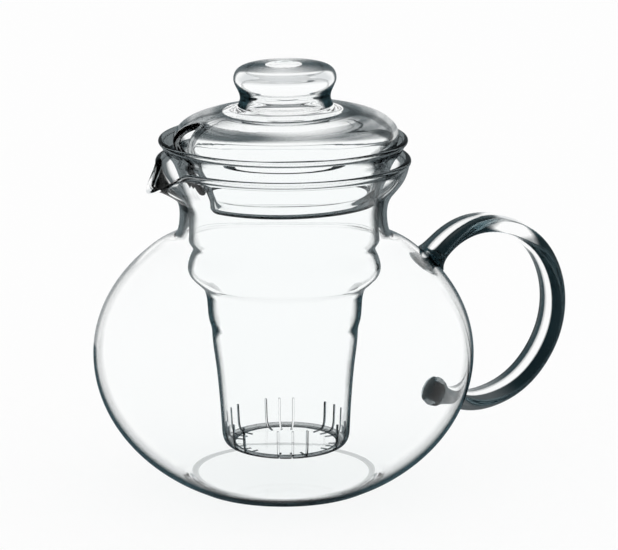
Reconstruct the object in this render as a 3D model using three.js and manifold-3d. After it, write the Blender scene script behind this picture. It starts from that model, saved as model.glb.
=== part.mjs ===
// Clear glass teapot with a lift-out infuser and a loose lid.
// Millimetres, +Z up. The origin is the centre of the flat resting base. The handle is on +X
// and the pouring lip on -X. Every piece is clear borosilicate glass.

import * as THREE from 'three';
import { mergeVertices } from 'three/addons/utils/BufferGeometryUtils.js';
import Module from 'manifold-3d';

const wasm = await Module();
wasm.setup();

// Pot body
const BASE_RADIUS = 30;
const BELLY_RADIUS = 70;
const BELLY_HEIGHT = 50.1;
const BELLY_DROP = 56.4; // lower half-height of the belly's ellipse, cut off by the flat base
const BELLY_RISE = 54.1; // upper half-height
const BASE_EDGE_HEIGHT = 1; // where the belly meets the flat base's rounded edge
const SHOULDER_RADIUS = 47.5; // where the belly's ellipse runs into the neck's hollow curve
const POT_WALL = 1.7;
const POT_FLOOR_TOP = 3.4;
const POT_FLOOR_RADIUS = 31;
const POT_RIM_HEIGHT = 121.9;

// Pouring lip, pulled out of the pot's rim on the -X side
const LIP_HALF_ANGLE = THREE.MathUtils.degToRad(21);
const LIP_START_HEIGHT = 105;
const LIP_REACH = 7.6;
const LIP_DROOP = 7.4;
const LIP_SIDE_SHARE = 0.4; // of the reach, sideways, so the lip narrows as it runs out
const LIP_CREST_POWER = 2.5; // how quickly the lip falls off beside its middle plane
const LIP_REACH_POWER = 1.6; // how quickly it runs out toward the rim
const LIP_DROOP_POWER = 3; // how late it bends down
const LIP_OVERRUN = 1.1; // share of the lip's height still followed above the rim's height

// Infuser
const INFUSER_BOTTOM = 14.4;
const INFUSER_FOOT_RADIUS = 23.7;
const INFUSER_FOOT_ROUND = 5.1;
const INFUSER_WALL = 1.2;
const SLIT_WIDTH = 0.7;
const SLIT_TOP = 26;
const SLIT_INNER_RADIUS = 16;
const SLIT_OVERRUN = 3; // how far each slit's cutter runs out past the foot, outward and down
const SLIT_GROUPS = 6;
const SLITS_PER_GROUP = 3;
const SLIT_PITCH = THREE.MathUtils.degToRad(13.2);
const SLIT_FIRST = THREE.MathUtils.degToRad(12.5);

// Lid
const LID_WALL = 2.1;
const LID_BOTTOM = 108.4;
const KNOB_SEAT_HEIGHT = 142.6; // where the knob's neck meets the dome
const KNOB_NECK_WALL = 3.4;
const KNOB_NECK_RADIUS = 17.4;
const KNOB_FOOT_RADIUS = 17.3; // the knob's foot, a hair inside the edge of the dome's seat
const SEAT_FLARE = 0.6; // how far the hole under the knob widens within the dome's wall
const NOTCH_HALF_WIDTH = 7.8;
const NOTCH_TOP = 136.6;
const NOTCH_CUT = { from: 20, to: 50 }; // reach of the notch's cutter, outward from the axis

// Handle
const HANDLE_WIDTH = 14.4;
const HANDLE_THICKNESS = 5.8;

const JOINT_GAP = 0.3; // between two solids that are fused on the real pot
const ROUND_SEGMENTS = 36;
const CURVE_STEPS = 4;
const SMALLEST_STEP = 0.05; // outline points closer than this are one point
const WELD_DISTANCE = 1e-4; // mesh points closer than this are one point
const FLOOR_CLEAR = 1; // an inner wall point this close above the floor gives way to the floor's edge

const point = (radius, height) => new THREE.Vector2(radius, height);

// Points of a path without the doubled ones where two of its curves meet.
function pathPoints(path, steps = CURVE_STEPS) {
  const points = path.getPoints(steps);
  return points.filter((p, i) => i === 0 || p.distanceTo(points[i - 1]) > SMALLEST_STEP);
}

// The same outline moved inward (to the left of its direction) by a wall thickness.
function offsetOutline(points, wall) {
  return points.map((p, i) => {
    const before = points[Math.max(i - 1, 0)];
    const after = points[Math.min(i + 1, points.length - 1)];
    const along = after.clone().sub(before).normalize();
    return point(p.x - along.y * wall, p.y + along.x * wall);
  });
}

// Half circle of points from one side of a wall's edge to the other, without its two ends.
function roundedEdge(from, to, steps = 4) {
  const middle = from.clone().add(to).multiplyScalar(0.5);
  const arm = from.clone().sub(middle);
  const points = [];
  for (let i = 1; i < steps; i += 1) {
    points.push(arm.clone().rotateAround(point(0, 0), (Math.PI * i) / steps).add(middle));
  }
  return points;
}

// A cup: the outer outline runs from the axis at the bottom up to the rim. The inside follows
// it at one wall's thickness, down to a flat floor.
function cupProfile(outer, wall, floorTop, floorRadius) {
  const inner = offsetOutline(outer, wall);
  const innerWall = inner.filter(
    (p, i) => outer[i].y > floorTop && p.y > floorTop + FLOOR_CLEAR && p.x > floorRadius);
  const cap = roundedEdge(outer[outer.length - 1], inner[inner.length - 1]);
  return [...outer, ...cap, ...innerWall.reverse(), point(floorRadius, floorTop), point(0, floorTop)];
}

function latheSolid(profile) {
  const geometry = new THREE.LatheGeometry(profile, ROUND_SEGMENTS);
  geometry.rotateX(Math.PI / 2);
  return toSolid(geometry);
}

function toSolid(geometry) {
  const bare = geometry.clone();
  bare.deleteAttribute('normal');
  bare.deleteAttribute('uv');
  const merged = mergeVertices(bare, WELD_DISTANCE);
  const triangles = [];
  const index = merged.index.array;
  for (let i = 0; i < index.length; i += 3) {
    const [a, b, c] = [index[i], index[i + 1], index[i + 2]];
    if (a !== b && b !== c && c !== a) {
      triangles.push(a, b, c);
    }
  }
  const mesh = new wasm.Mesh({
    numProp: 3,
    vertProperties: new Float32Array(merged.attributes.position.array),
    triVerts: new Uint32Array(triangles),
  });
  return new wasm.Manifold(mesh);
}

function toGeometry(solid) {
  const mesh = solid.getMesh();
  const geometry = new THREE.BufferGeometry();
  geometry.setAttribute('position', new THREE.BufferAttribute(mesh.vertProperties, 3));
  geometry.setIndex(new THREE.BufferAttribute(mesh.triVerts, 1));
  geometry.computeVertexNormals();
  return geometry;
}

// Outer outline of the pot, from the axis at the base to the rim.
function potOutline() {
  const belly = new THREE.Path();
  const baseAngle = -Math.asin((BELLY_HEIGHT - BASE_EDGE_HEIGHT) / BELLY_DROP);
  const shoulderAngle = Math.acos(SHOULDER_RADIUS / BELLY_RADIUS);
  belly.absellipse(0, BELLY_HEIGHT, BELLY_RADIUS, BELLY_DROP, baseAngle, 0, false, 0);
  belly.absellipse(0, BELLY_HEIGHT, BELLY_RADIUS, BELLY_RISE, 0, shoulderAngle, false, 0);
  const collar = new THREE.SplineCurve([
    point(SHOULDER_RADIUS, BELLY_HEIGHT + BELLY_RISE * Math.sin(shoulderAngle)),
    point(44.2, 91.6),
    point(41.2, 93.1),
    point(39.3, 94.8),
    point(38.4, 97.2),
    point(37.9, 103),
    point(38.3, 106.2),
    point(39.6, 109.3),
    point(41.7, 112),
    point(43.7, 114.6),
    point(45.3, 117.9),
    point(46.2, POT_RIM_HEIGHT),
  ]);
  return [
    point(0, 0),
    point(BASE_RADIUS, 0),
    ...pathPoints(belly),
    ...collar.getPoints(14).slice(1),
  ];
}

// Moves a point of the pot's collar out and down where the pouring lip is drawn. The pull is
// strongest in the lip's middle plane and at the rim, and fades away sideways and downward.
function pullLip(vertex) {
  const share = (vertex.z - LIP_START_HEIGHT) / (POT_RIM_HEIGHT - LIP_START_HEIGHT);
  const lift = THREE.MathUtils.clamp(share, 0, LIP_OVERRUN);
  const angle = Math.abs(Math.atan2(vertex.y, -vertex.x));
  if (lift === 0 || angle > LIP_HALF_ANGLE) {
    return vertex;
  }
  const ridge = Math.cos((angle / LIP_HALF_ANGLE) * Math.PI / 2) ** LIP_CREST_POWER;
  const radius = Math.hypot(vertex.x, vertex.y);
  const reach = LIP_REACH * ridge * lift ** LIP_REACH_POWER;
  vertex.x *= (radius + reach) / radius;
  vertex.y *= (radius + reach * LIP_SIDE_SHARE) / radius;
  vertex.z -= LIP_DROOP * ridge * lift ** LIP_DROOP_POWER;
  return vertex;
}

function makePotBody() {
  const profile = cupProfile(potOutline(), POT_WALL, POT_FLOOR_TOP, POT_FLOOR_RADIUS);
  return latheSolid(profile).warp((vertex) => {
    const moved = pullLip(new THREE.Vector3(...vertex));
    vertex[0] = moved.x;
    vertex[1] = moved.y;
    vertex[2] = moved.z;
  });
}

function infuserOutline() {
  const footTop = INFUSER_BOTTOM + INFUSER_FOOT_ROUND;
  const foot = new THREE.Path();
  foot.absarc(
    INFUSER_FOOT_RADIUS - INFUSER_FOOT_ROUND, footTop, INFUSER_FOOT_ROUND, -Math.PI / 2, 0, false);
  const cup = new THREE.SplineCurve([
    point(24, 27),
    point(25.6, 46.6),
    point(26.8, 58),
    point(27.7, 62.6),
    point(28.6, 71.4),
  ]);
  const barrel = new THREE.SplineCurve([
    point(29.8, 74.8),
    point(32.5, 77.3),
    point(34.6, 80),
    point(34.9, 84),
    point(33.5, 88.6),
    point(34.4, 92.6),
    point(34.6, 98),
    point(34.6, 104),
  ]);
  const funnel = new THREE.SplineCurve([
    point(35.3, 107.6),
    point(36.7, 112),
    point(38.6, 118),
    point(41, 123.2),
    point(43.6, 126.6),
    point(45, 129.4),
  ]);
  return [
    point(0, INFUSER_BOTTOM),
    ...pathPoints(foot, 3),
    ...cup.getPoints(6),
    ...barrel.getPoints(12),
    ...funnel.getPoints(7),
  ];
}

// One slit: a thin upright blade through the foot's corner, from below the floor to SLIT_TOP.
function makeSlitBlade(angle) {
  const length = INFUSER_FOOT_RADIUS + SLIT_OVERRUN - SLIT_INNER_RADIUS;
  const bottom = INFUSER_BOTTOM - SLIT_OVERRUN;
  const blade = new THREE.BoxGeometry(length, SLIT_WIDTH, SLIT_TOP - bottom);
  blade.translate(SLIT_INNER_RADIUS + length / 2, 0, (SLIT_TOP + bottom) / 2);
  blade.rotateZ(angle);
  return toSolid(blade);
}

function makeInfuser() {
  const floorTop = INFUSER_BOTTOM + INFUSER_WALL;
  const floorRadius = INFUSER_FOOT_RADIUS - INFUSER_FOOT_ROUND;
  let cup = latheSolid(cupProfile(infuserOutline(), INFUSER_WALL, floorTop, floorRadius));
  for (let group = 0; group < SLIT_GROUPS; group += 1) {
    for (let slit = 0; slit < SLITS_PER_GROUP; slit += 1) {
      const fromMiddle = (slit - (SLITS_PER_GROUP - 1) / 2) * SLIT_PITCH;
      const angle = SLIT_FIRST + (group * 2 * Math.PI) / SLIT_GROUPS + fromMiddle;
      cup = cup.subtract(makeSlitBlade(angle));
    }
  }
  return cup;
}

// Outer outline of the lid, from the knob's seat down to the skirt's bottom edge.
function lidOutline() {
  const dome = new THREE.SplineCurve([
    point(KNOB_NECK_RADIUS, KNOB_SEAT_HEIGHT),
    point(18.6, 141.9),
    point(22.5, 142),
    point(27.5, 141.2),
    point(32.5, 139.8),
    point(36.3, 137.8),
    point(39.2, 135.4),
    point(41.1, 132.8),
    point(41.5, 130.2),
    point(40.5, 127.3),
    point(38.8, 124.7),
    point(37.4, 122),
  ]);
  const skirt = new THREE.SplineCurve([
    point(36, 118.2),
    point(34.6, 113.6),
    point(33.3, LID_BOTTOM),
  ]);
  return [...dome.getPoints(15), ...skirt.getPoints(3)];
}

// The notch's cutter: an upright arch, drawn in the YZ plane and run through the wall along -X.
function makeNotchCutter() {
  const shape = new THREE.Shape();
  const bottom = LID_BOTTOM - LID_WALL;
  shape.moveTo(NOTCH_HALF_WIDTH, bottom);
  shape.absarc(0, NOTCH_TOP - NOTCH_HALF_WIDTH, NOTCH_HALF_WIDTH, 0, Math.PI, false);
  shape.lineTo(-NOTCH_HALF_WIDTH, bottom);
  shape.closePath();
  const cutter = new THREE.ExtrudeGeometry(
    shape, { depth: NOTCH_CUT.to - NOTCH_CUT.from, bevelEnabled: false, curveSegments: 12 });
  cutter.rotateX(Math.PI / 2);
  cutter.rotateZ(-Math.PI / 2);
  cutter.translate(-NOTCH_CUT.from, 0, 0);
  return toSolid(cutter);
}

function makeLid() {
  const seatRadius = KNOB_NECK_RADIUS - KNOB_NECK_WALL;
  const outer = lidOutline();
  const inner = offsetOutline(outer, -LID_WALL);
  inner[0] = point(seatRadius, KNOB_SEAT_HEIGHT);
  inner[1] = point(seatRadius + SEAT_FLARE, KNOB_SEAT_HEIGHT - LID_WALL);
  const cap = roundedEdge(outer[outer.length - 1], inner[inner.length - 1]);
  const profile = [...outer, ...cap, ...inner.reverse(), outer[0].clone()].reverse();
  return latheSolid(profile).subtract(makeNotchCutter());
}

function makeLidKnob() {
  const seat = KNOB_SEAT_HEIGHT + JOINT_GAP;
  const outer = new THREE.SplineCurve([
    point(KNOB_FOOT_RADIUS, seat),
    point(16.5, 145.2),
    point(17.4, 148.8),
    point(18.7, 152.2),
    point(17.7, 155.4),
    point(13.4, 157.2),
    point(7.2, 157.5),
  ]);
  const inner = new THREE.SplineCurve([
    point(12.4, 154.5),
    point(15.6, 152.3),
    point(15, 149),
    point(13.2, 145.8),
    point(KNOB_NECK_RADIUS - KNOB_NECK_WALL, seat),
  ]);
  const profile = [
    ...outer.getPoints(12),
    point(5.4, 157),
    point(0, 156.6),
    point(0, 154.3),
    point(7, 154.8),
    ...inner.getPoints(8),
    point(KNOB_FOOT_RADIUS, seat),
  ];
  return latheSolid(profile);
}

// Middle line of the handle's loop in the XZ plane, from the shoulder round to the lower belly.
const HANDLE_ROUTE = [
  [53, 73], [59.5, 80.2], [67.5, 87.2], [76.5, 90.9], [85.5, 91], [94.8, 87.9], [102.9, 81.8],
  [108.5, 73], [111.3, 61.5], [110.2, 49.8], [104.6, 37.9], [95.2, 28.5], [84.5, 23.9],
  [75, 23.2], [66, 26], [56, 31],
];

// The pot's belly, a gap larger, to trim the handle's two feet.
function makePotClearance() {
  const top = BELLY_HEIGHT + BELLY_RISE;
  const grown = potOutline().slice(1).filter((p) => p.y < top).map((p) => point(p.x + JOINT_GAP, p.y));
  return latheSolid([point(0, 0), ...grown, point(0, grown[grown.length - 1].y)]);
}

// The strap's section: two flats joined by half circles.
function handleSection() {
  const round = HANDLE_THICKNESS / 2;
  const middle = HANDLE_WIDTH / 2 - round;
  const section = new THREE.Shape();
  section.absarc(middle, 0, round, -Math.PI / 2, Math.PI / 2, false);
  section.absarc(-middle, 0, round, Math.PI / 2, 1.5 * Math.PI, false);
  section.closePath();
  return section;
}

function makeHandle() {
  const route = new THREE.CatmullRomCurve3(
    HANDLE_ROUTE.map(([x, z]) => new THREE.Vector3(x, 0, z)), false, 'centripetal');
  const strap = new THREE.ExtrudeGeometry(handleSection(), {
    steps: 44, curveSegments: 7, bevelEnabled: false, extrudePath: route,
  });
  return toSolid(strap).subtract(makePotClearance());
}

const GLASS_COLOUR = 0xe9f1f2;

function glassMesh(name, solid) {
  const material = new THREE.MeshStandardMaterial({
    color: GLASS_COLOUR, roughness: 0.02, metalness: 0, transparent: true, opacity: 0.3,
  });
  const mesh = new THREE.Mesh(toGeometry(solid), material);
  mesh.name = name;
  return mesh;
}

const teapot = new THREE.Group();
teapot.add(glassMesh('pot_body', makePotBody()));
teapot.add(glassMesh('handle', makeHandle()));
teapot.add(glassMesh('infuser', makeInfuser()));
teapot.add(glassMesh('lid', makeLid()));
teapot.add(glassMesh('lid_knob', makeLidKnob()));

export default teapot;
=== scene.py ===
"""Looks of a clear glass teapot with a lift-out infuser and a loose lid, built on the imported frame.

The outlines are in design millimetres, (radius, height) from the pot's axis and its resting base.
UNIT turns them into the frame's metres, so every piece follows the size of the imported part.
"""

import math

import bmesh
import bpy
import numpy as np
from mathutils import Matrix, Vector


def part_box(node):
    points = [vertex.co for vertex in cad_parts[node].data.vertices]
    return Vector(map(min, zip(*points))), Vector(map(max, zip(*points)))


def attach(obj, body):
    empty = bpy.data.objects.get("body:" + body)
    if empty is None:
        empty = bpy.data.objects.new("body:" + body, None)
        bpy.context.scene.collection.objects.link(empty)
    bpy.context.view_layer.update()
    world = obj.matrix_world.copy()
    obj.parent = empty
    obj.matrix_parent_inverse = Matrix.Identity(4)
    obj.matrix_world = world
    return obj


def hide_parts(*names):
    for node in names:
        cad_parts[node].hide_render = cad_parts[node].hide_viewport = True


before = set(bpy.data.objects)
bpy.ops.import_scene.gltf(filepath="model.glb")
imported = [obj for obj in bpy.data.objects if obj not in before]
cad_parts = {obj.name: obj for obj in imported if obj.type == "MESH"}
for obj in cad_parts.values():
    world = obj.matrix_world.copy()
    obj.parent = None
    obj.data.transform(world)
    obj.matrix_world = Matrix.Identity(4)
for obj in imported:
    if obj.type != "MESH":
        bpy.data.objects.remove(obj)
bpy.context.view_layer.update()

# Driving sizes, in design millimetres
BELLY_RADIUS = 70.0
BELLY_HEIGHT = 50.1
BELLY_DROP = 56.4
BELLY_RISE = 54.1
POT_WALL = 1.7
POT_RIM_HEIGHT = 121.9
POT_BEAD = 1.25
BEAD_MARGIN = 0.15  # kept clear between a wall's outline and the bead on its end
POT_FLOOR_TOP = 3.2
FLOOR_CORNER_HEIGHT = 4.6  # above it, the inside of the pot runs parallel to the outside
SHOULDER_RADIUS = 47.5
LIP_HALF_ANGLE = math.radians(21)
LIP_START_HEIGHT = 105.0
LIP_REACH = 6.4
LIP_REACH_CREST = 1.3  # how narrow the lip's crest is, as a power
LIP_REACH_POWER = 1.6  # how quickly it runs out toward the rim
LIP_DROOP = 7.4
LIP_DROOP_CREST = 1.2
LIP_DROOP_POWER = 3
LIP_SIDE_SHARE = 0.4  # of the lip's reach that also widens it sideways
LIP_OVERRUN = 1.1  # how far past the rim's height the bead still follows the lip
INFUSER_BOTTOM = 14.4
INFUSER_WALL = 1.2
INFUSER_FOOT_RADIUS = 23.7
INFUSER_BEAD = 0.98
INFUSER_SEAT_HEIGHT = 124.0
INFUSER_LEAN = (0.0075, -0.0033)
SLIT_WIDTH = 0.7
SLIT_TOP = 26.0
SLIT_INNER_RADIUS = 16.0
SLIT_GROUPS = 6
SLITS_PER_GROUP = 3
SLIT_PITCH = math.radians(13.2)
SLIT_FIRST = math.radians(12.5)
BLADE_OVERRUN_OUT = 4.0
BLADE_OVERRUN_DOWN = 2.0
LID_WALL = 2.1
LID_BEAD = 0.3  # share by which the fire-polished free edge is thicker than the wall
LID_BEAD_REACH = 1.3
LID_EDGE_SHADE_REACH = 0.45  # how far the painted shade of the thick edge reaches into the wall
LID_BOTTOM = 108.4
LID_LEAN = 0.019  # rise toward the handle: the loose lid sits slightly out of level
LID_SHIFT = 0.7  # toward the handle, at the knob's height
LID_TURN = math.radians(-3)  # of the notch away from the lip
LID_CROWN_HEIGHT = 142.0  # below it, the middle of the lid's wall only falls
LID_SEAT_POINTS = 10  # of the lid's outline, over which it thickens to the knob's neck
LID_ROWS = 90
LID_FAN = 1.5  # how late, from the edge up, the lid's columns spread evenly, as a power
LID_EDGE_STEPS = 9
KNOB_SEAT_HEIGHT = 142.6
KNOB_NECK_RADIUS = 17.4
KNOB_WIDEST_HEIGHT = 152.2
KNOB_NECK_WALL = 3.4
KNOB_SHADE_BEARING = math.radians(-24)  # bearing of the two sides, left and right from the camera, at which the knob's shoulder has its darkest painted shade
NOTCH_HALF_WIDTH = 6.9
NOTCH_TOP = 136.7
NOTCH_CORNER = 3.0
HANDLE_WIDTH = 14.4
HANDLE_THICKNESS = 5.8
HANDLE_CROWN = 0.12  # share by which each flat stands proud at its middle
FOOT_REACH = 3.0  # from the belly, over which the strap swells toward its fused feet
FOOT_WIDER = 0.30
FOOT_THICKER = 0.80
STATION_EASE = 0.35  # share of the strap's rings that crowd toward its feet
FUSED_GAP = 0.04  # between the faces of two pieces that are fused on the real object

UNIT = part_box("pot_body")[1].y / BELLY_RADIUS
COLUMNS = 168
NEVER = 2.0  # a painted shade start that no view reaches
ALWAYS = -0.6  # a painted shade start that every view reaches, from inside the glass too
INNER_FACE_SHARE = 0.3  # of a wall's painted shade, on its inner face
CORNER_HALF_WIDTH = 0.878
NEAR_SIDE_SHADE = 0.64  # painted shade on the strap's round side toward -Y; the other is fully dark
GAP_BEARING = 77  # degrees about the loop's centre, of the clear gap in the painted shade at the strap's inner edge
GAP_SLANT = 18  # degrees back from there to the outer edge
GAP_FAR_SHIFT = 8
GAP_HALF_WIDTHS = [11, 16]  # clear within the first, dark beyond the second
GLASS_IOR = 1.47


# ---------------------------------------------------------------- outlines

def smooth_curve(points, steps):
    """Points along the natural cubic spline through the given points, evenly in chord length."""
    points = np.array(points, float)
    spans = np.linalg.norm(np.diff(points, axis=0), axis=1)
    knots = np.concatenate([[0.0], np.cumsum(spans)])
    count = len(points)
    system = np.eye(count)
    right = np.zeros_like(points)
    for i in range(1, count - 1):
        system[i, i - 1:i + 2] = spans[i - 1], 2 * (spans[i - 1] + spans[i]), spans[i]
        right[i] = 6 * ((points[i + 1] - points[i]) / spans[i] - (points[i] - points[i - 1]) / spans[i - 1])
    bend = np.linalg.solve(system, right)
    at = np.linspace(0.0, knots[-1], steps)
    i = np.clip(np.searchsorted(knots, at, side="right") - 1, 0, count - 2)
    span = spans[i][:, None]
    a = (knots[i + 1] - at)[:, None] / span
    b = 1.0 - a
    curve = a * points[i] + b * points[i + 1]
    return curve + ((a ** 3 - a) * bend[i] + (b ** 3 - b) * bend[i + 1]) * span ** 2 / 6


def left_normals(points):
    """Unit vectors to the left of an outline's direction at each of its points."""
    along = np.gradient(points, axis=0)
    along /= np.linalg.norm(along, axis=1)[:, None]
    return np.stack([-along[:, 1], along[:, 0]], axis=1)


def rim_bead(outer_end, inner_end, radius, steps=22):
    """Fire-polished bead round a wall's free edge, a little thicker than the wall."""
    half_wall = (inner_end - outer_end) / 2
    middle = outer_end + half_wall
    across = half_wall / np.linalg.norm(half_wall)
    along = np.array([across[1], -across[0]])
    if along[1] < 0:
        along = -along
    first = math.pi - math.asin(np.linalg.norm(half_wall) / radius)
    turns = np.linspace(first, -first, steps)
    return np.array([middle + radius * (along * math.cos(t) - across * math.sin(t)) for t in turns])


def before_bead(points, wall, radius):
    """A wall's outline without its last points, which lie inside the bead on its end."""
    reach = math.sqrt(radius ** 2 - wall ** 2 / 4) + BEAD_MARGIN
    return points[np.linalg.norm(points - points[-1], axis=1) > reach]


def belly(angles, half_height):
    """Points of the belly's ellipse at angles up from its widest ring."""
    return [(BELLY_RADIUS * math.cos(a), BELLY_HEIGHT + half_height * math.sin(a)) for a in angles]


def belly_radius(height):
    """The belly's outer radius at a height, as an array or a number."""
    half_height = np.where(height < BELLY_HEIGHT, BELLY_DROP, BELLY_RISE)
    share = np.clip((height - BELLY_HEIGHT) / half_height, -0.999, 0.999)
    return BELLY_RADIUS * np.sqrt(1 - share ** 2)


def pot_profile():
    """The pot's section: base, belly, neck and collar outside, then the inside back to the axis."""
    shoulder = math.acos(SHOULDER_RADIUS / BELLY_RADIUS)
    foot = [(29.0, 0.0), (31.2, 0.06), (33.2, 0.45)]
    lower = belly(np.linspace(-math.acos(0.5), 0, 12), BELLY_DROP)
    upper = belly(np.linspace(0, shoulder, 12)[1:], BELLY_RISE)
    collar = [
        (44.2, 91.6), (41.2, 93.1), (39.3, 94.8), (38.4, 97.2), (38.0, 100), (37.9, 103), (38.3, 106.2),
        (39.6, 109.3), (41.7, 112), (43.7, 114.6), (45.3, 117.9), (46.2, POT_RIM_HEIGHT),
    ]
    outer = smooth_curve(foot + lower + upper + collar, 190)
    inner = outer + left_normals(outer) * POT_WALL
    thin = inner[outer[:, 1] > FLOOR_CORNER_HEIGHT]
    floor = [(27.0, POT_FLOOR_TOP), (31, 3.3), (34.4, 4.0)]
    knots = np.linspace(0, len(thin) - 1, 42).astype(int)
    inside = smooth_curve(floor + [tuple(p) for p in thin[knots]], 190)
    edge = rim_bead(outer[-1], inside[-1], POT_BEAD)
    outer = before_bead(outer, POT_WALL, POT_BEAD)
    inside = before_bead(inside, POT_WALL, POT_BEAD)
    base_rings = [(0, 0), (10, 0), (20, 0)]
    floor_rings = [(18, POT_FLOOR_TOP), (9, POT_FLOOR_TOP), (0, POT_FLOOR_TOP)]
    return np.vstack([base_rings, outer, edge, inside[::-1], floor_rings])


def infuser_profile():
    """The infuser's section: foot, barrel with its pinched ring, and funnel, then the inside back."""
    foot = [
        (18.6, INFUSER_BOTTOM), (20.8, 14.8), (22.5, 16.0), (23.4, 18.0),
        (INFUSER_FOOT_RADIUS, 20.8), (24.0, 27),
    ]
    barrel = [
        (24.6, 36), (25.6, 46.6), (26.7, 56.6), (27.0, 60), (27.7, 62.6), (28.2, 66.5), (28.6, 71.4),
        (29.8, 74.8), (32.5, 77.3), (34.6, 80.0), (34.9, 84.0), (33.5, 88.6), (34.4, 92.6), (34.6, 98),
        (34.6, 104),
    ]
    funnel = [
        (35.3, 107.6), (36.7, 112), (38.6, 118), (41.0, 123.2), (43.6, 126.6), (45.0, 129.4),
    ]
    outer = smooth_curve(foot + barrel + funnel, 200)
    inner = outer + left_normals(outer) * INFUSER_WALL
    edge = rim_bead(outer[-1], inner[-1], INFUSER_BEAD)
    outer = before_bead(outer, INFUSER_WALL, INFUSER_BEAD)
    inside = before_bead(inner, INFUSER_WALL, INFUSER_BEAD)
    inside = inside[inside[:, 1] > INFUSER_BOTTOM + INFUSER_WALL + 0.02]
    base_rings = [(0, INFUSER_BOTTOM), (8, INFUSER_BOTTOM), (15, INFUSER_BOTTOM)]
    floor_top = INFUSER_BOTTOM + INFUSER_WALL
    floor_rings = [(15, floor_top), (8, floor_top), (0, floor_top)]
    return np.vstack([base_rings, outer, edge, inside[::-1], floor_rings])


def knob_profile():
    """The hollow knob's section, closed: outside, dimple on top, then the hollow back to the seat."""
    seat = KNOB_SEAT_HEIGHT + FUSED_GAP
    outer = smooth_curve(
        [
            (17.3, seat), (16.5, 145.2), (17.4, 148.8), (18.7, KNOB_WIDEST_HEIGHT), (17.7, 155.4),
            (13.4, 157.2), (7.2, 157.5),
        ],
        60)
    dimple = smooth_curve([(6.4, 157.45), (5.4, 157.0), (3.6, 156.7), (0, 156.6)], 14)
    hollow = smooth_curve(
        [
            (0, 154.3), (7, 154.8), (12.4, 154.5), (15.6, 152.3), (15.0, 149.0), (13.2, 145.8),
            (13.6, seat),
        ],
        50)
    return np.vstack([outer, dimple, hollow, outer[:1]])


# ------------------------------------------------------------------ meshes

def mesh_object(name, vertices, faces):
    mesh = bpy.data.meshes.new(name)
    mesh.from_pydata([tuple(v) for v in np.asarray(vertices) * UNIT], [], faces)
    mesh.polygons.foreach_set("use_smooth", [True] * len(mesh.polygons))
    mesh.update()
    piece = bpy.data.objects.new(name, mesh)
    bpy.context.scene.collection.objects.link(piece)
    return piece


def lathe(profile, bend=None, columns=COLUMNS):
    """Vertices and faces of a body of revolution. A profile point on the axis is a single vertex."""
    vertices, rings = [], []
    turns = np.arange(columns) * 2 * math.pi / columns
    for radius, height in profile:
        if radius < 1e-6:
            rings.append([len(vertices)] * columns)
            vertices.append((0.0, 0.0, height))
            continue
        rings.append(list(range(len(vertices), len(vertices) + columns)))
        vertices += [(radius * math.cos(t), radius * math.sin(t), height) for t in turns]
    faces = []
    for low, high in zip(rings, rings[1:]):
        for a in range(columns):
            b = (a + 1) % columns
            corners = [low[a], low[b], high[b], high[a]]
            face = [c for i, c in enumerate(corners) if c != corners[i - 1]]
            if len(face) > 2:
                faces.append(face)
    vertices = np.array(vertices)
    if bend is not None:
        vertices = bend(vertices)
    return vertices, faces


def lathe_object(name, profile, bend=None):
    """A closed lathed piece; a profile that ends where it starts closes on itself."""
    closed = np.allclose(profile[0], profile[-1])
    vertices, faces = lathe(profile[:-1] if closed else profile, bend)
    if closed:
        last = len(vertices) - COLUMNS
        faces += [[last + a, last + (a + 1) % COLUMNS, (a + 1) % COLUMNS, a] for a in range(COLUMNS)]
    return mesh_object(name, vertices, faces)


def lip_ridge(x, y):
    """1 on the lip's middle line, toward -X, and 0 beyond its sides."""
    angle = np.abs(np.arctan2(y, -x))
    return np.cos(np.clip(angle / LIP_HALF_ANGLE, 0, 1) * math.pi / 2) ** 2


def lip_lift(height):
    """0 where the lip starts on the collar and 1 at the rim."""
    return np.clip((height - LIP_START_HEIGHT) / (POT_RIM_HEIGHT - LIP_START_HEIGHT), 0, LIP_OVERRUN)


def lip_droop(ridge, lift):
    """How far the collar is drawn down."""
    return LIP_DROOP * ridge ** LIP_DROOP_CREST * lift ** LIP_DROOP_POWER


def pull_lip(vertices):
    """Draws the collar out and down into a small pouring lip on -X."""
    x, y, z = vertices.T
    lift = lip_lift(z)
    ridge = lip_ridge(x, y)
    radius = np.maximum(np.hypot(x, y), 1e-6)
    reach = LIP_REACH * ridge ** LIP_REACH_CREST * lift ** LIP_REACH_POWER
    out = x * (1 + reach / radius)
    sideways = y * (1 + LIP_SIDE_SHARE * reach / radius)
    return np.stack([out, sideways, z - lip_droop(ridge, lift)], axis=1)


def undrooped(x, y, z):
    """Heights of the drawn collar's points before the lip was drawn down, by repeated guesses."""
    ridge = lip_ridge(x, y)
    height = z
    for _ in range(12):
        height = z + lip_droop(ridge, lip_lift(height))
    return height


def cut_with(piece, cutter):
    """Cuts the cutter out of the piece and applies the result to its mesh."""
    cut = piece.modifiers.new("cut", "BOOLEAN")
    cut.operation = "DIFFERENCE"
    cut.solver = "EXACT"
    cut.material_mode = "TRANSFER"
    cut.object = cutter
    depsgraph = bpy.context.evaluated_depsgraph_get()
    mesh = bpy.data.meshes.new_from_object(piece.evaluated_get(depsgraph))
    piece.modifiers.remove(cut)
    old = piece.data
    piece.data = mesh
    bpy.data.meshes.remove(old)
    bpy.data.objects.remove(cutter)
    mesh.name = piece.name


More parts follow.
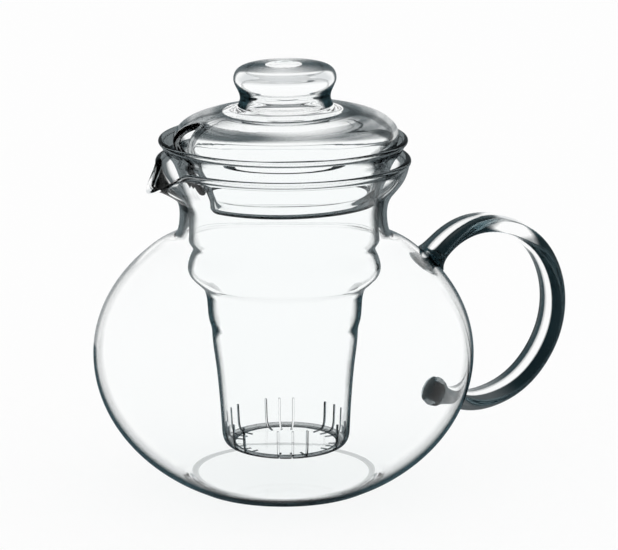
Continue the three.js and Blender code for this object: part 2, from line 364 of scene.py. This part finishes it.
def slit_blades():
    """All the slits as one object of thin upright blades through the foot's corner."""
    half = SLIT_WIDTH / 2
    near, far = SLIT_INNER_RADIUS, INFUSER_FOOT_RADIUS + BLADE_OVERRUN_OUT
    low, high = INFUSER_BOTTOM - BLADE_OVERRUN_DOWN, SLIT_TOP
    corners = [(r, s, z) for r in (near, far) for s in (-half, half) for z in (low, high)]
    box_faces = [(0, 1, 3, 2), (4, 6, 7, 5), (0, 4, 5, 1), (2, 3, 7, 6), (0, 2, 6, 4), (1, 5, 7, 3)]
    vertices, faces = [], []
    for group in range(SLIT_GROUPS):
        for slit in range(SLITS_PER_GROUP):
            turn = SLIT_FIRST + group * 2 * math.pi / SLIT_GROUPS
            turn += (slit - (SLITS_PER_GROUP - 1) / 2) * SLIT_PITCH
            c, s = math.cos(turn), math.sin(turn)
            faces += [[len(vertices) + i for i in face] for face in box_faces]
            vertices += [(r * c - w * s, r * s + w * c, z) for r, w, z in corners]
    return mesh_object("slit_blades", vertices, faces)


def hang(infuser):
    """Leans the loose infuser a little, so its foot hangs off the pot's axis."""
    for vertex in infuser.data.vertices:
        drop = INFUSER_SEAT_HEIGHT * UNIT - vertex.co.z
        vertex.co.x += INFUSER_LEAN[0] * drop
        vertex.co.y += INFUSER_LEAN[1] * drop


def make_infuser(wall_glass, cut_glass):
    """The infuser with its slits cut; the cut faces keep a glass of their own, painted dark all over."""
    infuser = lathe_object("infuser_glass", infuser_profile())
    infuser.data.materials.append(wall_glass)
    blades = slit_blades()
    blades.data.materials.append(cut_glass)
    cut_with(infuser, blades)
    hang(infuser)
    infuser.data.set_sharp_from_angle(angle=math.radians(50))
    return infuser


# ------------------------------------------------------------ lid with its notch

def lean(vertices):
    """Tips the lid and its knob a little, up at the handle, and sets them off centre."""
    moved = vertices.copy()
    moved[:, 0] += LID_SHIFT + LID_LEAN * (KNOB_WIDEST_HEIGHT - vertices[:, 2])
    moved[:, 2] += LID_LEAN * vertices[:, 0]
    return moved


def lid_walls(steps=120):
    """Outer and inner outline of the lid's wall, point for point, from the knob's seat down the skirt."""
    outer = smooth_curve(
        [
            (KNOB_NECK_RADIUS, KNOB_SEAT_HEIGHT), (18.6, 141.2), (22.5, 140.7), (27.5, 139.9),
            (32.5, 138.6), (36.3, 137.1), (39.0, 135.1), (40.7, 132.7), (41.1, 130.2), (40.1, 127.3),
            (38.4, 124.7), (36.9, 122.0), (35.3, 118.2), (33.7, 113.6), (32.3, LID_BOTTOM),
        ],
        steps)
    inner = outer - left_normals(outer) * LID_WALL
    seat_share = np.linspace(1, 0, LID_SEAT_POINTS) ** 2
    seat_inner = np.array([KNOB_NECK_RADIUS - KNOB_NECK_WALL, KNOB_SEAT_HEIGHT])
    inner[:LID_SEAT_POINTS] += seat_share[:, None] * (seat_inner - inner[0])
    return outer, inner


def notch_edge():
    """Half of the notch's edge in front view, as (sideways, height) from its crown down to the skirt."""
    half = NOTCH_HALF_WIDTH + LID_WALL / 2
    centre = NOTCH_TOP - NOTCH_HALF_WIDTH
    bottom = LID_BOTTOM + LID_WALL / 2
    arch = [(half * math.sin(a), centre + half * math.cos(a)) for a in np.linspace(0, math.pi / 2, 24)]
    side = [(half, z) for z in np.linspace(centre, bottom + NOTCH_CORNER, 22)[1:]]
    corner = [
        (half + NOTCH_CORNER * (1 - math.cos(a)), bottom + NOTCH_CORNER * (1 - math.sin(a)))
        for a in np.linspace(0, math.pi / 2, 9)[1:]
    ]
    return np.array(arch + side + corner), bottom


def free_edge_distance(sideways, height, at_notch):
    """How far a point of the lid's wall lies from its free edge, seen from the front."""
    half = NOTCH_HALF_WIDTH + LID_WALL / 2
    centre = NOTCH_TOP - NOTCH_HALF_WIDTH
    to_arch = np.hypot(sideways, np.maximum(height - centre, 0)) - half
    to_skirt = height - LID_BOTTOM - LID_WALL / 2
    return np.maximum(np.where(at_notch, np.minimum(to_arch, to_skirt), to_skirt), 0)


def round_off(centre_line, arm, toward_wall):
    """Rings that round the lid's free edge, from the wall's outside over to its inside."""
    along = np.roll(centre_line, -1, axis=0) - np.roll(centre_line, 1, axis=0)
    outward = np.cross(along, arm)
    outward /= np.linalg.norm(outward, axis=1)[:, None]
    outward *= -np.sign(np.sum(outward * toward_wall, axis=1))[:, None]
    reach = np.linalg.norm(arm, axis=1)[:, None]
    return [
        centre_line + arm * math.cos(t) + outward * reach * math.sin(t)
        for t in np.linspace(0, math.pi, LID_EDGE_STEPS + 2)[1:-1]
    ]


def turned(vertices, angle):
    """The points turned about the pot's axis."""
    x, y, z = vertices.T
    cosine, sine = math.cos(angle), math.sin(angle)
    return np.stack([x * cosine - y * sine, x * sine + y * cosine, z], axis=1)


def make_lid():
    """The lid as a wall round a free edge that runs along the skirt and up over the notch.

    A place on the wall is given by its share of the way down the outline and its turn about the axis.
    """
    outer, inner = lid_walls()
    share = np.linspace(0, 1, len(outer))
    middle = (outer + inner) / 2
    half_wall = (outer - inner) / 2
    falling = int(np.argmax(middle[:, 1] < LID_CROWN_HEIGHT))

    def share_at(height):
        return np.interp(-height, -middle[falling:, 1], share[falling:])

    def middle_at(shares):
        """Radius and height of the wall's middle."""
        return np.interp(shares, share, middle[:, 0]), np.interp(shares, share, middle[:, 1])

    def distance_at(shares, turns):
        """How far the wall's middle lies from the free edge."""
        radius, height = middle_at(shares)
        return free_edge_distance(radius * np.sin(turns), height, np.cos(turns) > 0)

    def place(shares, turns, side):
        """Points of the wall: side is 1 on its outside, -1 on its inside and 0 at its middle."""
        radius, height = middle_at(shares)
        thicker = 1 + LID_BEAD * np.exp(-(distance_at(shares, turns) / LID_BEAD_REACH) ** 2)
        radius = radius + side * thicker * np.interp(shares, share, half_wall[:, 0])
        height = height + side * thicker * np.interp(shares, share, half_wall[:, 1])
        return np.stack([radius * np.cos(turns), radius * np.sin(turns), height], axis=1)

    edge, bottom = notch_edge()
    edge_share = share_at(edge[:, 1])
    edge_turn = np.arcsin(np.clip(edge[:, 0] / middle_at(edge_share)[0], -1, 1))
    skirt_turns = np.linspace(edge_turn[-1], math.pi, 70)[1:]
    edge_share = np.concatenate([edge_share, np.full(len(skirt_turns), share_at(bottom))])
    edge_turn = np.concatenate([edge_turn, skirt_turns])

    # Even starts round the knob for the columns, each ending at its own point of the free edge
    steps = np.linalg.norm(np.diff(place(edge_share, edge_turn, 0), axis=0), axis=1)
    run = np.concatenate([[0], np.cumsum(steps)])
    start_turn = math.pi * run / run[-1]

    # The other half is the mirror image; the two share the columns at 0 and 180 degrees
    edge_share = np.concatenate([edge_share, edge_share[-2:0:-1]])
    edge_turn = np.concatenate([edge_turn, 2 * math.pi - edge_turn[-2:0:-1]])
    start_turn = np.concatenate([start_turn, 2 * math.pi - start_turn[-2:0:-1]])
    columns = len(edge_share)

    outside, inside, edge_distances = [], [], []
    for down in np.linspace(0, 1, LID_ROWS):
        shares = edge_share * down
        turns = edge_turn + (start_turn - edge_turn) * (1 - down) ** LID_FAN
        outside.append(place(shares, turns, 1))
        inside.append(place(shares, turns, -1))
        edge_distances.append(distance_at(shares, turns))
    arm = (outside[-1] - inside[-1]) / 2
    cap = round_off(place(edge_share, edge_turn, 0), arm, outside[-2] - outside[-1])
    rings = outside + cap + inside[::-1]
    vertices = lean(turned(np.concatenate(rings), math.pi + LID_TURN))
    faces = []
    for ring in range(len(rings)):
        low = ring * columns
        high = (ring + 1) % len(rings) * columns
        for a in range(columns):
            b = (a + 1) % columns
            faces.append([low + b, low + a, high + a, high + b])
    lid = mesh_object("lid_glass", vertices, faces)
    cap_distances = [np.zeros(columns)] * len(cap)
    shade_lid(lid, np.concatenate(edge_distances + cap_distances + edge_distances[::-1]))
    return lid


# ----------------------------------------------------------------- handle

HANDLE_ROUTE = [
    (53, 73), (59.5, 80.2), (67.5, 87.2), (76.5, 90.9), (85.5, 91.0), (94.8, 87.9), (102.9, 81.8),
    (108.5, 73), (111.3, 61.5), (110.2, 49.8), (104.6, 37.9), (95.2, 28.5), (84.5, 23.9), (75, 23.2),
    (66, 26), (56, 31),
]
LOOP_CENTRE = (78.0, 57.0)
SIDE_POINTS = 17  # round each narrow side of the strap, from one flat to the other
FLAT_POINTS = 4  # between them on each flat
FLAT_TURN = math.radians(108)  # stands for a flat where the round sides' turns are used


def strap_section():
    """The strap's section: each corner's share across, round part across, round part out, and turn.

    The turn is outward from the middle of the round side that the corner is on.
    """
    side = np.linspace(-math.pi / 2, math.pi / 2, SIDE_POINTS)
    flat = np.linspace(1, -1, FLAT_POINTS + 2)[1:-1]
    level = np.full(FLAT_POINTS, FLAT_TURN)
    crown = 1 + HANDLE_CROWN * (1 - flat ** 2)
    right = np.stack([np.ones(SIDE_POINTS), np.cos(side), np.sin(side), side], axis=1)
    top = np.stack([flat, 0 * flat, crown, level], axis=1)
    left = right * (-1, -1, -1, -1)
    bottom = top * (-1, 1, -1, -1)
    return np.vstack([right, top, left, bottom])


def make_handle(stations=170):
    """A flat strap with round sides swept along the loop, spread at both feet and ended on the belly."""
    line = smooth_curve(HANDLE_ROUTE, 600)
    along = np.gradient(line, axis=0)
    along /= np.linalg.norm(along, axis=1)[:, None]
    across = np.stack([-along[:, 1], along[:, 0]], axis=1)
    run = np.concatenate([[0], np.cumsum(np.linalg.norm(np.diff(line, axis=0), axis=1))])
    clear = line[:, 0] - belly_radius(line[:, 1])
    spread = np.exp(-np.clip(clear, 0, None) / FOOT_REACH)
    section = strap_section()
    sides = len(section)

    def place(distance, corner):
        """Point of the strap's surface at a distance along the loop, for one corner of the section."""
        x = np.interp(distance, run, line[:, 0])
        z = np.interp(distance, run, line[:, 1])
        across_x = np.interp(distance, run, across[:, 0])
        across_z = np.interp(distance, run, across[:, 1])
        swell = np.interp(distance, run, spread)
        half_width = HANDLE_WIDTH / 2 * (1 + FOOT_WIDER * swell)
        half_thick = HANDLE_THICKNESS / 2 * (1 + FOOT_THICKER * swell)
        out = half_thick * corner[2]
        sideways = corner[0] * (half_width - half_thick) + corner[1] * half_thick
        return np.array([x + across_x * out, sideways, z + across_z * out])

    def outside_belly(point):
        return math.hypot(point[0], point[1]) - belly_radius(point[2]) - FUSED_GAP

    def foot(corner, inner, outer):
        """Distance along the loop at which this side line of the strap meets the belly."""
        for _ in range(40):
            middle = (inner + outer) / 2
            if outside_belly(place(middle, corner)) < 0:
                inner = middle
            else:
                outer = middle
        return outer

    quarter = run[-1] / 4
    starts = np.array([foot(corner, 0, quarter) for corner in section])
    ends = np.array([foot(corner, run[-1], run[-1] - quarter) for corner in section])
    crowded = (1 - np.cos(np.linspace(0, math.pi, stations))) / 2
    shares = STATION_EASE * crowded + (1 - STATION_EASE) * np.linspace(0, 1, stations)
    rings = [
        np.array([place(s + (e - s) * share, corner) for corner, s, e in zip(section, starts, ends)])
        for share in shares
    ]

    def foot_rings(ring):
        """Rings that close a foot, lying along the belly, down to one middle point."""
        middle = ring.mean(axis=0)
        made = []
        for share in (0.8, 0.6, 0.4, 0.2, 0.0):
            points = middle + (ring - middle) * share
            radius = belly_radius(points[:, 2]) + FUSED_GAP
            points[:, :2] *= (radius / np.hypot(points[:, 0], points[:, 1]))[:, None]
            made.append(points)
        return made

    first, last = foot_rings(rings[0]), foot_rings(rings[-1])
    body = first[-2::-1] + rings + last[:-1]
    vertices = np.concatenate(body + [first[-1][:1], last[-1][:1]])
    faces = []
    for ring in range(len(body) - 1):
        low, high = ring * sides, (ring + 1) * sides
        faces += [[low + a, low + (a + 1) % sides, high + (a + 1) % sides, high + a] for a in range(sides)]
    top = len(body) * sides
    last_ring = (len(body) - 1) * sides
    faces += [[(a + 1) % sides, a, top] for a in range(sides)]
    faces += [[last_ring + a, last_ring + (a + 1) % sides, top + 1] for a in range(sides)]
    handle = mesh_object("handle_glass", vertices, faces)

    turn = np.degrees(np.concatenate([np.tile(section[:, 3], len(body)), [0, 0]]))
    cap = len(first) - 1
    in_cap = np.zeros(len(vertices), bool)
    in_cap[:(cap - 1) * sides] = True
    in_cap[(len(body) - cap + 1) * sides:] = True
    shade_handle(handle, vertices, turn, in_cap)
    return handle


def face_outward(piece):
    """Turns all faces to the outside, which refraction needs."""
    work = bmesh.new()
    work.from_mesh(piece.data)
    bmesh.ops.recalc_face_normals(work, faces=work.faces)
    work.to_mesh(piece.data)
    work.free()
    piece.data.update()


# ------------------------------------------------------- painted shade: where glass looks dark

def store_painted_shade(piece, start, depth):
    """Keeps on each vertex how edge-on the glass must be seen for its painted shade to start, and how dark
    it gets.
    """
    for name, values in (("painted_shade_start", start), ("painted_shade_depth", depth)):
        attribute = piece.data.attributes.new(name, "FLOAT", "POINT")
        attribute.data.foreach_set("value", np.asarray(values, float))


def vertex_places(piece):
    """The vertices' x, y and z, in design millimetres."""
    places = np.empty(len(piece.data.vertices) * 3)
    piece.data.vertices.foreach_get("co", places)
    return places.reshape(-1, 3).T / UNIT


def inside_wall(profile, radius, height, wall):
    """True for the points that lie more than half a wall's thickness inside a profile's outer outline."""
    climb = profile[:int(np.argmax(profile[:, 1])) + 1]
    return radius < np.interp(height, climb[:, 1], climb[:, 0]) - wall / 2


def painted_shade_by_height(height, bands):
    """Painted shade's edge start and depth from (height, start, depth) rows, even between rows."""
    heights, starts, depths = np.array(bands).T
    return np.interp(height, heights, starts), np.interp(height, heights, depths)


def paint_corner_shade(start, depth, at_corner, corner_depth):
    """Paints shade on the thick glass of a corner, dark from every side."""
    start[at_corner] = ALWAYS
    depth[at_corner] = corner_depth


def shade_pot(pot):
    """Painted shade: dark outlines for the belly and neck, a fine line round the rim, and a ring round the
    floor.
    """
    bands = [
        (0, 0.68, 1.0), (12, 0.68, 1.0), (30, 0.70, 1.0), (48, 0.73, 1.0), (62, 0.74, 0.95),
        (84, 0.74, 0.95), (88, 0.80, 0.9), (94, 0.80, 0.9), (96, 0.60, 0.9), (106, 0.58, 0.9),
        (112, 0.66, 0.9), (119, 0.62, 0.85), (POT_RIM_HEIGHT - 0.8, 0.26, 0.85),
        (POT_RIM_HEIGHT + 2, 0.26, 0.85),
    ]
    x, y, z = vertex_places(pot)
    radius, height = np.hypot(x, y), undrooped(x, y, z)
    start, depth = painted_shade_by_height(height, bands)
    # lighter painted shade on the lip
    lip = np.abs(np.arctan2(y, -x)) < 1.1 * LIP_HALF_ANGLE
    lip &= (height > 109) & (height < POT_RIM_HEIGHT - 1)
    start[lip] = 0.84
    floor = (radius < 29) & (height < 6)
    start[floor] = NEVER
    # painted shade lighter on the side away from the handle
    away_from_handle = (x < 0) & (height > 55) & (height < 94)
    depth[away_from_handle] *= 0.7
    below_neck = height < 92
    depth[inside_wall(pot_profile(), radius, height, POT_WALL) & below_neck] *= INNER_FACE_SHARE
    # a painted dark ring round the floor's corner
    floor_corner = (np.abs(radius - 33.4) < CORNER_HALF_WIDTH) & (height > 2) & (height < 6)
    paint_corner_shade(start, depth, floor_corner, 0.36)
    store_painted_shade(pot, start, depth)


def shade_infuser(infuser):
    """Painted shade: dark outlines, heavier round the pinched ring and the slits, and a ring round the
    floor.
    """
    bands = [
        (INFUSER_BOTTOM, 0.44, 0.95), (18, 0.52, 0.95), (26, 0.62, 0.97), (57, 0.62, 0.97),
        (61, 0.54, 1.0), (73, 0.58, 1.0), (75, 0.74, 0.8), (80, 0.70, 0.8), (84, 0.62, 0.9),
        (106, 0.62, 0.85), (126, 0.56, 0.85), (128.5, 0.26, 0.85), (131, 0.26, 0.85),
    ]
    x, y, height = vertex_places(infuser)
    x = x - INFUSER_LEAN[0] * (INFUSER_SEAT_HEIGHT - height)
    y = y - INFUSER_LEAN[1] * (INFUSER_SEAT_HEIGHT - height)
    radius = np.hypot(x, y)
    start, depth = painted_shade_by_height(height, bands)
    near_floor = height < INFUSER_BOTTOM + 3
    start[(radius < 19) & near_floor] = NEVER
    inner = inside_wall(infuser_profile(), radius, height, INFUSER_WALL)
    depth[inner & (height > 20) & (height < 120)] *= INNER_FACE_SHARE
    # a painted dark ring round the floor's corner
    floor_corner = (np.abs(radius - 20.9) < CORNER_HALF_WIDTH) & near_floor
    paint_corner_shade(start, depth, floor_corner, 0.55)
    store_painted_shade(infuser, start, depth)


def shade_lid(lid, edge_distance):
    """Painted shade: dark outlines, a grey band round the dome's shoulder, and a dark free edge."""
    bands = [
        (LID_BOTTOM, 0.60, 0.9), (124, 0.62, 0.9), (133, 0.60, 0.95), (138, 0.60, 0.9), (150, 0.62, 0.9),
    ]
    x, y, height = vertex_places(lid)
    radius = np.hypot(x, y)
    start, depth = painted_shade_by_height(height, bands)
    # painted grey shade round the dome's shoulder
    shoulder = np.exp(-((height - 136.0) / 2.2) ** 2) * (radius > 31)
    start -= 0.38 * shoulder
    near_knob = radius < 22
    start[near_knob] = 0.88
    # painted shade: the thick free edge is dark from every side
    at_edge = edge_distance < LID_EDGE_SHADE_REACH
    start[at_edge] = ALWAYS
    depth[at_edge] = np.where(height > 124, 0.55, 0.9)[at_edge]
    store_painted_shade(lid, start, depth)


def shade_knob(knob):
    """Painted shade: a dark neck, and a shoulder darker on two sides, left and right from the camera."""
    bands = [
        (141, 0.36, 1.0), (146.5, 0.30, 1.0), (149.5, 0.42, 1.0), (152, 0.66, 0.9), (155.5, 0.60, 0.9),
        (157.1, 0.50, 0.95),
    ]
    x, y, height = vertex_places(knob)
    radius = np.hypot(x, y)
    start, depth = painted_shade_by_height(height, bands)
    dimple = (radius < 6.6) & (height > 155.5)
    start[dimple] = NEVER
    # painted shade on the shoulder is lightest toward and away from the camera
    lobes = np.abs(np.cos(np.arctan2(y, x) - KNOB_SHADE_BEARING)) ** 1.5
    shoulder = np.clip((height - 153.5) / 2, 0, 1)
    depth *= 1 - shoulder * 0.75 * (1 - lobes)
    hollow = inside_wall(knob_profile(), radius, height, KNOB_NECK_WALL) & (height < 155)
    depth[hollow] *= 0.35
    store_painted_shade(knob, start, depth)


def shade_handle(handle, vertices, turn, in_cap):
    """Painted shade: dark round sides, but for a clear gap that runs slantwise over the top bend, and dark
    fused ends.

    The turn is each vertex's, in degrees outward from the middle of its round side.
    """
    x, y, z = vertices.T
    far_side = y > 0
    near_fade = np.interp(np.abs(turn), [76, 88], [1.0, 0.0])
    far_fade = np.interp(np.abs(turn), [84, 94], [1.0, 0.0])
    depth = np.where(far_side, far_fade, NEAR_SIDE_SHADE * near_fade)
    bearing = np.degrees(np.arctan2(z - LOOP_CENTRE[1], x - LOOP_CENTRE[0]))
    outward = turn / 180 + 0.5
    gap_middle = GAP_BEARING - GAP_SLANT * outward - GAP_FAR_SHIFT * far_side
    depth *= np.interp(np.abs(bearing - gap_middle), GAP_HALF_WIDTHS, [0.0, 1.0])
    # lighter painted shade low on the loop
    depth *= np.interp(bearing, [-75, -58], [0.84, 1.0])
    # a faint painted light streak along the round sides
    flicker = 0.5 + 0.5 * np.sin(bearing / 9) * np.sin(bearing / 23)
    streak = np.exp(-((turn - 35.5) / 9.2) ** 2) * flicker
    depth *= 1 - 0.12 * streak
    # painted shade: the fused ends are dark all over
    depth[in_cap] = 1.0
    store_painted_shade(handle, np.where(depth > 0.02, ALWAYS, 0.9), np.maximum(depth, 0.0))


# -------------------------------------------------------------- materials

class Nodes:
    """Short calls for building one material's node tree."""

    def __init__(self, tree):
        self.tree = tree

    def add(self, kind, inputs=None, **settings):
        node = self.tree.nodes.new(kind)
        for name, value in settings.items():
            setattr(node, name, value)
        for name, value in (inputs or {}).items():
            if isinstance(value, bpy.types.NodeSocket):
                self.tree.links.new(value, node.inputs[name])
            else:
                node.inputs[name].default_value = value
        return node

    def maths(self, operation, a, b=0.5, clamp=False):
        return self.add("ShaderNodeMath", {0: a, 1: b}, operation=operation, use_clamp=clamp).outputs[0]

    def smooth(self, value, low, high):
        """0 below low, 1 above high and a smooth step between."""
        node = self.add(
            "ShaderNodeMapRange", {"Value": value, "From Min": low, "From Max": high},
            interpolation_type="SMOOTHSTEP")
        return node.outputs["Result"]

    def blend(self, share, a, b):
        node = self.add("ShaderNodeMix", data_type="RGBA")
        for name, value in (("Factor", share), ("A", a), ("B", b)):
            socket = [s for s in node.inputs if s.name == name and s.enabled][0]
            if isinstance(value, bpy.types.NodeSocket):
                self.tree.links.new(value, socket)
            else:
                socket.default_value = value
        return [s for s in node.outputs if s.enabled][0]


CLEAR_TINT = (0.995, 0.998, 0.998, 1)
# painted shade colour of glass seen edge on, standing in for dark surroundings seen through it
PAINTED_SHADE_TINT = (0.022, 0.046, 0.055, 1)
# painted reflection tints, where the glass has painted shade
PAINTED_SHADE_MIRROR = (0.10, 0.14, 0.16, 1)
STRAP_PAINTED_SHADE_MIRROR = (0.60, 0.70, 0.73, 1)
OPEN_TINT = (0.985, 0.988, 0.988, 1)
PAINTED_SHADE_WIDTH = 0.13  # of the facing value, from clear to full painted shade
RIPPLE_SCALE = 26.0  # waves per metre
STREAK_SCALE = (9.0, 9.0, 240.0)  # drawn out round the turned walls
STREAK_RELIEF = 0.12  # of the ripple's height
SHADE_STREAK_RANGE = (0.34, 0.62)  # of the streak noise, where the painted shade breaks into lighter streaks
VEIL_POWER = 1.8  # weakens the pale reflections off the many walls, but keeps total reflection whole


def glass_material(name, wave=0.00006, shade_streaks=0.0, always=None, mirror_in_shade=PAINTED_SHADE_MIRROR):
    """Clear blown glass, with painted shade: its walls darken to a deep grey green where they are seen edge
    on, standing in for dark surroundings seen through it.

    Each vertex says where that starts and how far it goes. Light that leaves the glass is darkened only
    where the vertex says ALWAYS. wave is the height of the ripple left by blowing, shade_streaks how
    streaky the painted shade is, always a depth of painted shade for a cut face that is dark all over, and
    mirror_in_shade the painted reflection's tint where the glass is shaded.
    """
    material = bpy.data.materials.new(name)
    material.use_nodes = True
    tree = material.node_tree
    tree.nodes.clear()
    n = Nodes(tree)
    place = n.add("ShaderNodeTexCoord").outputs["Object"]
    ripple = n.add(
        "ShaderNodeTexNoise", {"Vector": place, "Scale": RIPPLE_SCALE, "Detail": 1.0, "Roughness": 0.4})
    drawn_out = n.add("ShaderNodeMapping", {"Vector": place, "Scale": STREAK_SCALE}).outputs[0]
    streaks = n.add("ShaderNodeTexNoise", {"Vector": drawn_out, "Scale": 1.0, "Detail": 2.0})
    fine_relief = n.maths("MULTIPLY", streaks.outputs["Fac"], STREAK_RELIEF)
    relief = n.maths("ADD", ripple.outputs["Fac"], fine_relief)
    bump = n.add("ShaderNodeBump", {"Height": relief, "Distance": wave, "Strength": 1.0}).outputs[0]

    facing = n.add("ShaderNodeLayerWeight", {"Blend": 0.5, "Normal": bump}).outputs["Facing"]
    # painted shade, read from each vertex: darker as the glass is seen more edge on
    if always is None:
        start = n.add("ShaderNodeAttribute", attribute_name="painted_shade_start").outputs["Fac"]
        depth = n.add("ShaderNodeAttribute", attribute_name="painted_shade_depth").outputs["Fac"]
        full = n.maths("ADD", start, PAINTED_SHADE_WIDTH)
        edge_on = n.maths("MULTIPLY", n.smooth(facing, start, full), depth)
        # the painted shade breaks into lighter streaks
        shade_streak_gaps = n.maths("MULTIPLY", n.smooth(streaks.outputs["Fac"], *SHADE_STREAK_RANGE), shade_streaks)
        leaving = n.add("ShaderNodeNewGeometry").outputs["Backfacing"]
        by_view = n.maths("GREATER_THAN", start, 0.0)
        left_out = n.maths("MULTIPLY", n.maths("MAXIMUM", shade_streak_gaps, leaving), by_view)
        dark = n.maths("MULTIPLY", edge_on, n.maths("SUBTRACT", 1.0, left_out))
    else:
        # painted shade all over a cut face
        dark = n.maths("MULTIPLY", n.smooth(facing, -1.0, -0.9), always)
    # the glass's clear tint, blended toward the painted shade
    tint = n.blend(dark, CLEAR_TINT, PAINTED_SHADE_TINT)

    fresnel = n.add("ShaderNodeFresnel", {"IOR": GLASS_IOR, "Normal": bump}).outputs[0]
    reflected = n.maths("POWER", fresnel, VEIL_POWER)
    through = n.add(
        "ShaderNodeBsdfRefraction", {"Color": tint, "IOR": GLASS_IOR, "Roughness": 0.0, "Normal": bump})
    # painted reflection: the reflection darkens with the painted shade
    painted_shade_mirror_tint = n.blend(dark, (1, 1, 1, 1), mirror_in_shade)
    mirror = n.add("ShaderNodeBsdfGlossy", {"Color": painted_shade_mirror_tint, "Roughness": 0.015, "Normal": bump})
    glass = n.add("ShaderNodeMixShader", {0: reflected, 1: through.outputs[0], 2: mirror.outputs[0]})
    ray = n.add("ShaderNodeLightPath")
    soft_rays = n.maths("MAXIMUM", ray.outputs["Is Shadow Ray"], ray.outputs["Is Diffuse Ray"])
    open_glass = n.add("ShaderNodeBsdfTransparent", {"Color": OPEN_TINT})
    shown = n.add("ShaderNodeMixShader", {0: soft_rays, 1: glass.outputs[0], 2: open_glass.outputs[0]})
    n.add("ShaderNodeOutputMaterial", {"Surface": shown.outputs[0]})
    return material


# ------------------------------------------------------------ the teapot

def finish_piece(piece, material, body, node):
    """Turns the piece's faces outward, gives it its glass unless it has one, puts it on its body and hides
    the CAD node it stands for.
    """
    face_outward(piece)
    if not piece.data.materials:
        piece.data.materials.append(material)
    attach(piece, body)
    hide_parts(node)


blown = glass_material("blown_glass")
fine = glass_material("infuser_glass_finish", wave=0.00004)
# painted shade: the slits' cut faces are dark all over
cut_edge = glass_material("cut_edge_glass", wave=0.00002, always=0.85)
# the lid's glass: painted shade broken into streaks
lid_streaked_shade_glass = glass_material("lid_glass_streaked_shade", shade_streaks=0.6)
knob_finish = glass_material("knob_glass_finish")
# the strap's glass: a finer ripple, and a paler painted reflection where its shade is painted
strap_finish_and_shade_mirror = glass_material("strap_glass", wave=0.00003, mirror_in_shade=STRAP_PAINTED_SHADE_MIRROR)

pot = lathe_object("pot_glass", pot_profile(), pull_lip)
shade_pot(pot)
finish_piece(pot, blown, "pot", "pot_body")

handle = make_handle()
finish_piece(handle, strap_finish_and_shade_mirror, "pot", "handle")

infuser = make_infuser(fine, cut_edge)
shade_infuser(infuser)
finish_piece(infuser, fine, "infuser", "infuser")

lid = make_lid()
finish_piece(lid, lid_streaked_shade_glass, "lid", "lid")

knob = lathe_object("lid_knob_glass", knob_profile(), lean)
shade_knob(knob)
finish_piece(knob, knob_finish, "lid", "lid_knob")


# -------------------------------------------------- floor, light and camera

FLOOR_HALF_SIZE = 6.0
FLOOR_DROP = 0.0002  # keeps the floor's face off the pot's base


def make_floor():
    """A wide plain floor just under the pot."""
    size = FLOOR_HALF_SIZE
    mesh = bpy.data.meshes.new("floor")
    corners = [(-size, -size, 0), (size, -size, 0), (size, size, 0), (-size, size, 0)]
    mesh.from_pydata(corners, [], [(0, 1, 2, 3)])
    floor = bpy.data.objects.new("floor", mesh)
    bpy.context.scene.collection.objects.link(floor)
    floor.location.z = -FLOOR_DROP
    material = bpy.data.materials.new("pale_floor")
    material.use_nodes = True
    shader = material.node_tree.nodes["Principled BSDF"]
    shader.inputs["Base Color"].default_value = (0.985, 0.985, 0.985, 1)
    shader.inputs["Roughness"].default_value = 1.0
    shader.inputs["Specular IOR Level"].default_value = 0.0
    mesh.materials.append(material)


BAND_GREY = (0.74, 0.76, 0.77, 1)


def light_room():
    """A white tent all round, with a band of grey wall half way up that only the glass sees."""
    world = bpy.data.worlds.new("studio")
    bpy.context.scene.world = world
    world.use_nodes = True
    tree = world.node_tree
    tree.nodes.clear()
    n = Nodes(tree)
    direction = n.add("ShaderNodeSeparateXYZ", {0: n.add("ShaderNodeTexCoord").outputs["Generated"]})
    height = direction.outputs["Z"]
    above_its_foot = n.smooth(height, 0.15, 0.40)
    below_its_top = n.maths("SUBTRACT", 1.0, n.smooth(height, 0.62, 0.85))
    band = n.maths("MULTIPLY", above_its_foot, below_its_top)
    glass_room = n.blend(band, (1, 1, 1, 1), BAND_GREY)
    ray = n.add("ShaderNodeLightPath")
    seen_by_glass = n.maths("MAXIMUM", ray.outputs["Is Transmission Ray"], ray.outputs["Is Glossy Ray"])
    colour = n.blend(seen_by_glass, (1, 1, 1, 1), glass_room)
    background = n.add("ShaderNodeBackground", {"Color": colour, "Strength": 1.0})
    n.add("ShaderNodeOutputWorld", {"Surface": background.outputs[0]})


CAMERA_AZIMUTH = math.radians(-24)
CAMERA_ELEVATION = math.radians(13.5)
CAMERA_DISTANCE = 1.40
CAMERA_LENS = 222.4
AIM_HEIGHT = 79.05
AIM_RIGHT = 9.37


def add_camera():
    """The camera stands off -Y, turned toward the lip, and looks down a little on the lid."""
    right = Vector((math.cos(CAMERA_AZIMUTH), math.sin(CAMERA_AZIMUTH), 0))
    toward = Vector((
        math.sin(CAMERA_AZIMUTH) * math.cos(CAMERA_ELEVATION),
        -math.cos(CAMERA_AZIMUTH) * math.cos(CAMERA_ELEVATION),
        math.sin(CAMERA_ELEVATION),
    ))
    target = Vector((0, 0, AIM_HEIGHT * UNIT)) + right * AIM_RIGHT * UNIT
    data = bpy.data.cameras.new("camera")
    data.lens = CAMERA_LENS
    data.sensor_width = 36.0
    data.clip_start = 0.01
    data.dof.use_dof = False
    camera = bpy.data.objects.new("camera", data)
    camera.location = target + toward * CAMERA_DISTANCE
    camera.rotation_euler = toward.to_track_quat("Z", "Y").to_euler()
    bpy.context.scene.collection.objects.link(camera)
    bpy.context.scene.camera = camera


make_floor()
light_room()
add_camera()

scene = bpy.context.scene
scene.view_settings.view_transform = "Standard"
scene.cycles.max_bounces = 32
scene.cycles.transmission_bounces = 32
scene.cycles.glossy_bounces = 12
scene.cycles.transparent_max_bounces = 32
